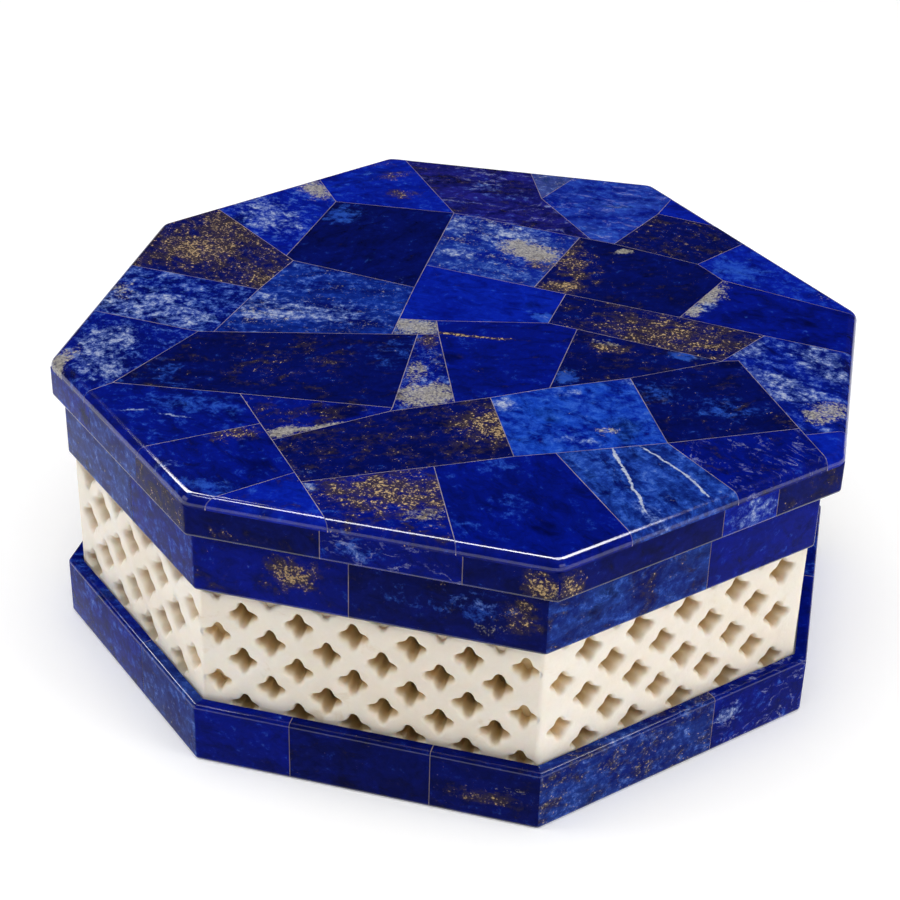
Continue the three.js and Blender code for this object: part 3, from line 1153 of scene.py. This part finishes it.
    def build(self) -> None:
        """Builds the bowl and dresses it."""
        shell = Shell()
        for side in range(SIDES):
            self.wall(shell, side)
        drum = rounded(MARBLE_INSET, self.corner, self.corner_steps)
        run = self.corner_steps + 1
        for corner in range(SIDES):
            arc = drum[corner * run:(corner + 1) * run]
            shell.skin([at_height(arc, self.foot), at_height(arc, RIM_BOTTOM)], closed=False)
        shell.skin([at_height(drum, 0), at_height(drum, self.foot)])
        neck = inset(RIM_INSET + EDGE_SLICE + GLUE)
        cavity = inset(MARBLE_INSET + WALL)
        ledge = [neck[i // run] for i in range(len(drum))]
        shell.skin([at_height(drum, RIM_BOTTOM), at_height(ledge, RIM_BOTTOM)])
        shell.skin([at_height(neck, RIM_BOTTOM), at_height(neck, LID_BOTTOM), at_height(cavity, LID_BOTTOM),
                    at_height(cavity, RIM_BOTTOM)])
        shell.face(at_height(cavity, FLOOR))
        shell.face(at_height(drum, 0)[::-1])
        piece = shell.build("pierced_marble_body", -MIDDLE_X, [marble_finish()])
        # Each point's depth in the wall, times its side's strength, weighs the painted shade inside the holes
        walls = [(corner, inward(side)) for side, corner in enumerate(inset(MARBLE_INSET))]
        painted_shade_depths = []
        for x, y, _ in shell.points:
            depth, side = min(((x - cx) * nx + (y - cy) * ny, side)
                              for side, ((cx, cy), (nx, ny)) in enumerate(walls))
            painted_shade_depths.append(depth * self.stain_and_shade[side])
        piece.data.attributes.new(PAINTED_SHADE_DEPTH, "FLOAT", "POINT").data.foreach_set("value", painted_shade_depths)
        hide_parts("marble_body")


# The look of each slice of stone

# Patches by their mineral, and slices by their two blues
azure, calcite, sand, gold, dark = (partial(Patch, mineral) for mineral in Mineral)
night, royal, vivid = (partial(Lapis, *tones) for tones in (
    (NAVY, DEEP), (DEEP, ULTRAMARINE), (ULTRAMARINE, BRIGHT)))

TOP_LOOKS = [
    vivid(azure=0.35, calcite=0.34, streak=-35, patches=(
        calcite(-53, 38, 11, 6, -40, 0.5), sand(-46, 52, 7, 4, -30, 0.9))),
    vivid(azure=0.2, calcite=0.08, streak=10, patches=(
        gold(-30, 64, 6, 3, 20, 0.7), gold(-26, 55, 5, 3, 0, 0.6), gold(-35, 69, 4, 2, 30, 0.6))),
    night(azure=0.04, streak=60, patches=(azure(-37, 42, 5, 5, 0, 0.6),
        calcite(-17, 16, 3, 2, 0, 0.4))),
    night(pyrite=0.6, streak=-40, patches=(
        gold(-58, 32, 10, 7, -40, 0.2), gold(-62, 18, 7, 6, 0, 0.3), gold(-45, 8, 6, 3, -40, 0.2))),
    royal(azure=0.45, calcite=0.5, streak=15, stretch=1.4, patches=(
        calcite(-66, -8, 8, 5, 20, 0.4), calcite(-57, -11, 7, 4, 10, 0.4), sand(-71, -4, 3, 6, 0, 0.5))),
    royal(azure=0.3, calcite=0.35, streak=-50, patches=(
        calcite(-67, -24, 7, 5, 60, 0.6), calcite(-64, -33, 6, 5, -40, 0.5),
        sand(-72.5, -33, 6, 2.5, 80, 0.9))),
    night(azure=0.04, pyrite=0.25, streak=20, patches=(
        azure(-54, -33, 10, 6, -20, 0.3), azure(-12, -14, 7, 5, 60, 0.3), gold(-30, -24, 14, 8, 10, 0.2))),
    Lapis(DEEP, shade(20, 56, 160), azure=0.3, calcite=0.35, sand=0.25, streak=8, stretch=2.8, patches=(
        calcite(-32, -3, 14, 5, 5, 0.3), calcite(-43, -3, 7, 6, 0, 0.3), sand(-40, -6, 7, 3, 5, 0.3))),
    Lapis(DEEP, DENIM, azure=0.4, calcite=0.5, sand=0.5, streak=80, patches=(sand(-10, -3, 4, 3, 0, 0.5),)),
    royal(azure=0.3, calcite=0.4, sand=0.25, pyrite=0.3, streak=80, patches=(
        sand(-2, -28, 6, 5, 30, 0.7), sand(-6, -20, 4, 3, 90, 0.4), gold(-6, -9, 3, 3, 0, 0.4))),
    royal(azure=0.08, pyrite=0.1, streak=10, patches=(
        gold(1, -4, 10, 0.6, 5, 1.0), dark(10, -18, 7, 4, 20, 0.4))),
    vivid(azure=0.1, streak=-10, patches=(azure(14, 7, 3, 2, 0, 0.8),
        calcite(14, 7, 2, 1, 0, 0.5))),
    Lapis(ULTRAMARINE, DENIM, azure=0.35, calcite=0.4, sand=0.3, streak=-15, stretch=2.4, patches=(
        calcite(-3, 42, 12, 5, -15, 0.5), sand(6, 35, 7, 4, -20, 0.9), gold(10, 30, 6, 4, -20, 0.7),
        calcite(-8, 30, 5, 2, 0, 0.4))),
    night(azure=0.03, pyrite=0.2, streak=30, patches=(
        gold(16, 33, 5, 12, 20, 0.6), gold(15, 21, 6, 3, 0, 0.7), sand(25.5, 40, 2.5, 1.5, 30, 0.9))),
    night(azure=0.06, pyrite=0.4, streak=-20),
    vivid(azure=0.1, streak=20),
    vivid(azure=0.3, calcite=0.06, streak=-20, patches=(
        azure(50, 38, 6, 4, -20, 0.5), sand(68, 30, 4, 2, 0, 0.3))),
    royal(azure=0.06, streak=-10, patches=(
        sand(45, 26, 7, 4, 70, 0.9), calcite(43, 22, 7, 5, 70, 1), sand(42, 17, 4, 3, 0, 0.9),
        dark(62, 20, 12, 5, 0, 0.3))),
    night(azure=0.03, pyrite=0.3, streak=5, stretch=2.2, patches=(
        gold(40, 6, 20, 10, 0, 0.45), sand(42, 3, 9, 3, 10, 0.3), sand(52, 8, 6, 3, -10, 0.4))),
    Lapis(DEEP, BRIGHT, azure=0.3, calcite=0.42, streak=-35, stretch=2, patches=(
        calcite(62, -8, 9, 4, -30, 0.5), calcite(55, 5, 4, 3, 60, 0.6), calcite(70, 3, 7, 4, -60, 0.5),
        sand(72, -15, 6, 4, 60, 0.8))),
    night(azure=0.02, pyrite=0.3, patches=(
        azure(22, -15, 3, 3, 0, 0.9), azure(43, -1, 3, 2, 0, 0.9), calcite(47, -1, 2, 1.5, 0, 0.7),
        sand(28, 0, 4, 1.5, -10, 0.6),
        gold(30, -2, 5, 2, -10, 0.5))),
    night(azure=0.06, pyrite=0.3, patches=(azure(54, -19, 6, 4, 0, 0.5),
        azure(40, -17, 5, 4, 0, 0.5))),
    Lapis(ULTRAMARINE, shade(26, 80, 200), azure=0.45, calcite=0.18, streak=-25, stretch=1.3, patches=(
        calcite(34, -13, 4, 2, 0, 0.5), calcite(13, -28, 4, 3, 0, 0.5), calcite(24, -21, 5, 2, 0, 0.4),
        calcite(29, -37, 6, 2, 0, 0.4),
        sand(33, -32, 3, 2, 0, 0.6), dark(38, -27, 6, 4, 40, 0.5))),
    royal(azure=0.1, calcite=0.04, pyrite=0.2, streak=-35, veins=0.4),
    vivid(azure=0.08, streak=0),
    Lapis(DEEP, shade(30, 66, 160), azure=0.45, calcite=0.3, sand=0.1, streak=-50, stretch=2.2, patches=(
        calcite(44, -39.2, 8, 0.3, -38, 0.95), calcite(51.5, -46.4, 5, 0.3, -51, 0.95),
        calcite(36.2, -40.5, 4, 0.3, -61, 0.95), calcite(38.9, -46.2, 5, 0.3, -67, 0.95),
        calcite(41.5, -52, 5, 0.3, -63, 0.95), calcite(45, -58, 5, 2, -50, 0.4))),
    royal(azure=0.08, streak=-45, patches=(
        azure(17, -48, 5, 4, 0, 0.25), azure(20, -61, 5, 4, -60, 0.25), azure(14, -69, 4, 3, 0, 0.25),
        dark(30, -62, 8, 5, 0, 0.3))),
    royal(azure=0.15, pyrite=0.4, streak=20, patches=(
        gold(0, -62, 14, 7, 10, 0.45), calcite(-14, -63, 4, 2, 0, 0.6), sand(7, -67, 7, 3, 20, 0.6))),
    night(azure=0.04, pyrite=0.4, streak=30, patches=(gold(12, -35, 7, 6, 60, 0.6),
        calcite(-16, -59, 3, 1.5, 30, 0.5))),
    royal(azure=0.1, pyrite=0.35, streak=30, patches=(
        sand(-24, -47, 4, 2, 40, 0.9), sand(-18, -44, 6, 1, 30, 0.9), dark(-15, -38, 8, 4, 20, 0.4))),
    vivid(azure=0.15, pyrite=0.2, streak=0),
    royal(azure=0.15, pyrite=0.1, streak=-40, patches=(
        gold(-32, -50, 6, 3, 20, 0.7), calcite(-42, -63, 3, 2, 0, 0.6), azure(-32, -68, 9, 3, 0, 0.4))),
    royal(azure=0.2, calcite=0.06, streak=-10, stretch=2, patches=(
        azure(-43, -42, 8, 4, 10, 0.4), calcite(-53, -47, 4, 0.5, 20, 0.7),
        calcite(-45, -47, 4, 0.5, 0, 0.7))),
    Lapis(NAVY, shade(38, 36, 142),
        azure=0.15, calcite=0.2, pyrite=0.3, streak=10, stretch=2, veins=0.5, patches=(
        calcite(-6, 62, 10, 3, 0, 0.3),)),
    Lapis(DENIM, LILAC, azure=0.3, calcite=0.5, sand=0.3, streak=10),
    Lapis(ULTRAMARINE, shade(44, 74, 176),
        azure=0.35, calcite=0.2, sand=0.1, streak=0, stretch=2.2, veins=0.4),
]

PLAIN = royal(azure=0.1)
DUSKY = night(azure=0.05, pyrite=0.35)
SPECKLED = night(azure=0.08, pyrite=0.5, stretch=2)
CLOUDED = royal(azure=0.35, calcite=0.25, stretch=2)
LIVELY = vivid(azure=0.25, calcite=0.08)
GREYED = Lapis(DEEP, DENIM, azure=0.3, calcite=0.35, sand=0.2, stretch=2.2)

LID_EDGE_LOOKS = [
    [CLOUDED, GREYED, SPECKLED],
    [night(azure=0.02, pyrite=0.1, patches=(gold(8, 53.5, 7, 1.5, 0, 0.35),)),
     royal(azure=0.08, calcite=0.02, veins=0.5, patches=(
         calcite(31, 54.5, 4, 2.5, 0, 0.5), azure(31, 55, 6, 3, 0, 0.35))),
     night(azure=0.03, patches=(gold(64, 55, 4, 4, 0, 0.9), sand(66, 54, 3, 2, 0, 0.6)))],
    [night(azure=0.03, pyrite=0.08, patches=(gold(3, 55, 4, 4, 0, 0.8),
        sand(2, 54, 2, 2, 0, 0.5))),
     vivid(azure=0.35, calcite=0.2, patches=(calcite(43, 55.5, 6, 3, 0, 0.7),)),
     DUSKY],
    [PLAIN, CLOUDED, DUSKY],
    [DUSKY, LIVELY, SPECKLED, PLAIN],
    [CLOUDED, PLAIN],
    [DUSKY, LIVELY, SPECKLED],
    [PLAIN, GREYED, CLOUDED],
]

RIM_LOOKS = [
    [GREYED, CLOUDED],
    [royal(azure=0.05, pyrite=0.2, patches=(gold(20, 46, 5, 4, 0, 0.8),
        sand(21, 46, 4, 2, 0, 0.3))),
     night(azure=0.08, pyrite=0.15, stretch=2, patches=(
         calcite(53, 47, 8, 2, 0, 0.5), azure(53, 46, 9, 3, 0, 0.35), sand(56, 42, 5, 2, 0, 0.4),
         gold(61, 46, 4, 5, 0, 0.6)))],
    [Lapis(DEEP, DENIM, azure=0.3, calcite=0.2, sand=0.15, pyrite=0.3, stretch=2.2), PLAIN],
    [CLOUDED, PLAIN],
    [DUSKY, SPECKLED, LIVELY],
    [PLAIN, CLOUDED],
    [GREYED, DUSKY],
    [LIVELY, SPECKLED, PLAIN],
]

BASE_LOOKS = [
    [CLOUDED, GREYED],
    [royal(azure=0.12, calcite=0.1, stretch=2),
     night(azure=0.03, pyrite=0.1),
     night(azure=0.06, pyrite=0.22, stretch=2.4, patches=(gold(56, 5, 8, 2, 0, 0.5),
         sand(60, 8, 6, 1, 0, 0.4)))],
    [Lapis(DEEP, DENIM, azure=0.3, calcite=0.35, sand=0.3, pyrite=0.4, stretch=2.4),
     royal(azure=0.2, calcite=0.08, veins=0.6, patches=(calcite(45, 8, 4, 3, 0, 0.6),))],
    [PLAIN, CLOUDED],
    [SPECKLED, LIVELY],
    [DUSKY, CLOUDED, PLAIN],
    [LIVELY, GREYED],
    [PLAIN, SPECKLED, CLOUDED],
]


# Light and camera


class Use(Enum):
    """What a light does."""

    FILL = "lights, without a glint"
    GLINT = "only a glint on polished edges"


@dataclass(frozen=True)
class Softbox:
    """A soft studio light.

    Attributes:
        name: Its name.
        place: Where it is, in metres.
        aim: The point it faces.
        size: Its width and height in metres.
        power: Its power in watts.
        use: What it lights.
    """

    name: str
    place: Vec3
    aim: Vec3
    size: Vec2
    power: float
    use: Use

    def build(self) -> None:
        """Adds the light."""
        data = bpy.data.lights.new(self.name, "AREA")
        data.shape = "RECTANGLE"
        data.size, data.size_y = self.size
        data.energy = self.power
        light = bpy.data.objects.new(self.name, data)
        light.location = self.place
        light.rotation_euler = (Vector(self.aim) - Vector(self.place)).to_track_quat("-Z", "Y").to_euler()
        light.visible_glossy = self.use is not Use.FILL
        light.visible_diffuse = self.use is not Use.GLINT
        bpy.context.scene.collection.objects.link(light)


SOFTBOXES = [
    Softbox("overhead_softbox", (0, -0.1, 1.0), (0, 0, 0), (1.5, 1.5), 13, Use.FILL),
    Softbox("left_softbox", (-1.2, -0.2, 0.45), (0, 0, 0.03), (0.7, 0.6), 6, Use.FILL),
    Softbox("right_softbox", (1.2, -0.25, 0.45), (0, 0, 0.03), (0.7, 0.6), 7.4, Use.FILL),
    Softbox("front_glint", (-0.2, 0.15, 1.03), (0, 0, 0.05), (0.5, 0.13), 4, Use.GLINT),
    Softbox("left_front_glint", (-0.485, 0.473, 0.79), (0, 0, 0.05), (0.4, 0.2), 5, Use.GLINT),
    Softbox("right_front_glint", (0.319, 0.333, 0.94), (0, 0, 0.05), (0.45, 0.16), 4, Use.GLINT),
    Softbox("corner_glint", (0.12, 0.2, 1.03), (0, 0, 0.05), (0.45, 0.45), 9, Use.GLINT),
    Softbox("left_glint", (-1.0, -0.5, 0.45), (0, 0, 0.03), (0.7, 0.6), 2, Use.GLINT),
    Softbox("right_glint", (0.9, -0.8, 0.45), (0, 0, 0.03), (0.7, 0.6), 2, Use.GLINT),
]


@dataclass(frozen=True)
class View:
    """The camera's place and lens.

    Attributes:
        place: Where it stands, in metres.
        aim: The point at the middle of the picture.
        roll: How far it is tilted clockwise, in degrees.
        lens: Focal length in millimetres on a 36 mm frame.
    """

    place: Vec3 = (0.0696, -0.3580, 0.2634)
    aim: Vec3 = (-0.00365, 0.0011, 0.030)
    roll: float = 1.65
    lens: float = 83.86

    def build(self) -> None:
        """Adds the camera and makes it the scene's."""
        data = bpy.data.cameras.new("camera")
        data.lens = self.lens
        data.sensor_width = 36
        data.clip_start = 0.01
        camera = bpy.data.objects.new("camera", data)
        forward = (Vector(self.aim) - Vector(self.place)).normalized()
        right = forward.cross(Vector((0, 0, 1))).normalized()
        up = right.cross(forward)
        turn = math.radians(self.roll)
        right, up = right * math.cos(turn) + up * math.sin(turn), up * math.cos(turn) - right * math.sin(turn)
        basis = Matrix((right, up, -forward)).transposed()
        camera.matrix_world = Matrix.Translation(self.place) @ basis.to_4x4()
        bpy.context.scene.collection.objects.link(camera)
        bpy.context.scene.camera = camera


def build_floor() -> None:
    """Adds the plain pale floor."""
    mesh = bpy.data.meshes.new("floor")
    mesh.from_pydata([(-3, -3, 0), (3, -3, 0), (3, 3, 0), (-3, 3, 0)], [], [(0, 1, 2, 3)])
    net = Wiring("pale_floor")
    net.put(net.shader.inputs["Base Color"], (0.94, 0.94, 0.94, 1))
    net.put(net.shader.inputs["Roughness"], 0.9)
    net.put(net.shader.inputs["Emission Color"], (1, 1, 1, 1))
    net.put(net.shader.inputs["Emission Strength"], 0.2)
    net.put(net.shader.inputs["Specular IOR Level"], 0.1)
    mesh.materials.append(net.material)
    floor = bpy.data.objects.new("floor", mesh)
    bpy.context.scene.collection.objects.link(floor)


def build_surroundings(strength: float = 0.03) -> None:
    """Sets the even light that fills the studio.

    Args:
        strength: Its brightness.
    """
    world = bpy.data.worlds.new("studio")
    world.use_nodes = True
    background = world.node_tree.nodes["Background"]
    background.inputs["Color"].default_value = (1, 1, 1, 1)
    background.inputs["Strength"].default_value = strength
    bpy.context.scene.world = world
    bpy.context.scene.view_settings.view_transform = "Standard"


def main() -> None:
    """Builds the pieces, the stage, the lights and the camera."""
    View().build()
    build_surroundings()
    build_floor()
    for softbox in SOFTBOXES:
        softbox.build()
    PiercedBody().build()
    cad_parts["marble_lid"].data.materials.clear()
    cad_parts["marble_lid"].data.materials.append(marble_finish())
    Band("base_band", "stone_base_band", "lapis_base", BASE_INSET, 0, BASE_TOP, BASE_SEAMS, BASE_LOOKS,
         ease_top=BAND_EASE).build()
    Band("rim_band", "stone_rim_band", "lapis_rim", RIM_INSET, RIM_BOTTOM, LID_BOTTOM, RIM_SEAMS,
         RIM_LOOKS).build()
    Band("lid_edge_band", "stone_lid_edge_band", "lapis_lid_edge", 0, LID_BOTTOM, TOP - TOP_SLICE, LID_SEAMS,
         LID_EDGE_LOOKS, shift=LID_SHIFT - MIDDLE_X).build()
    Paving(TOP_LOOKS).build()


if __name__ == "__main__":
    logging.basicConfig(level=logging.INFO, format="%(message)s")
    main()
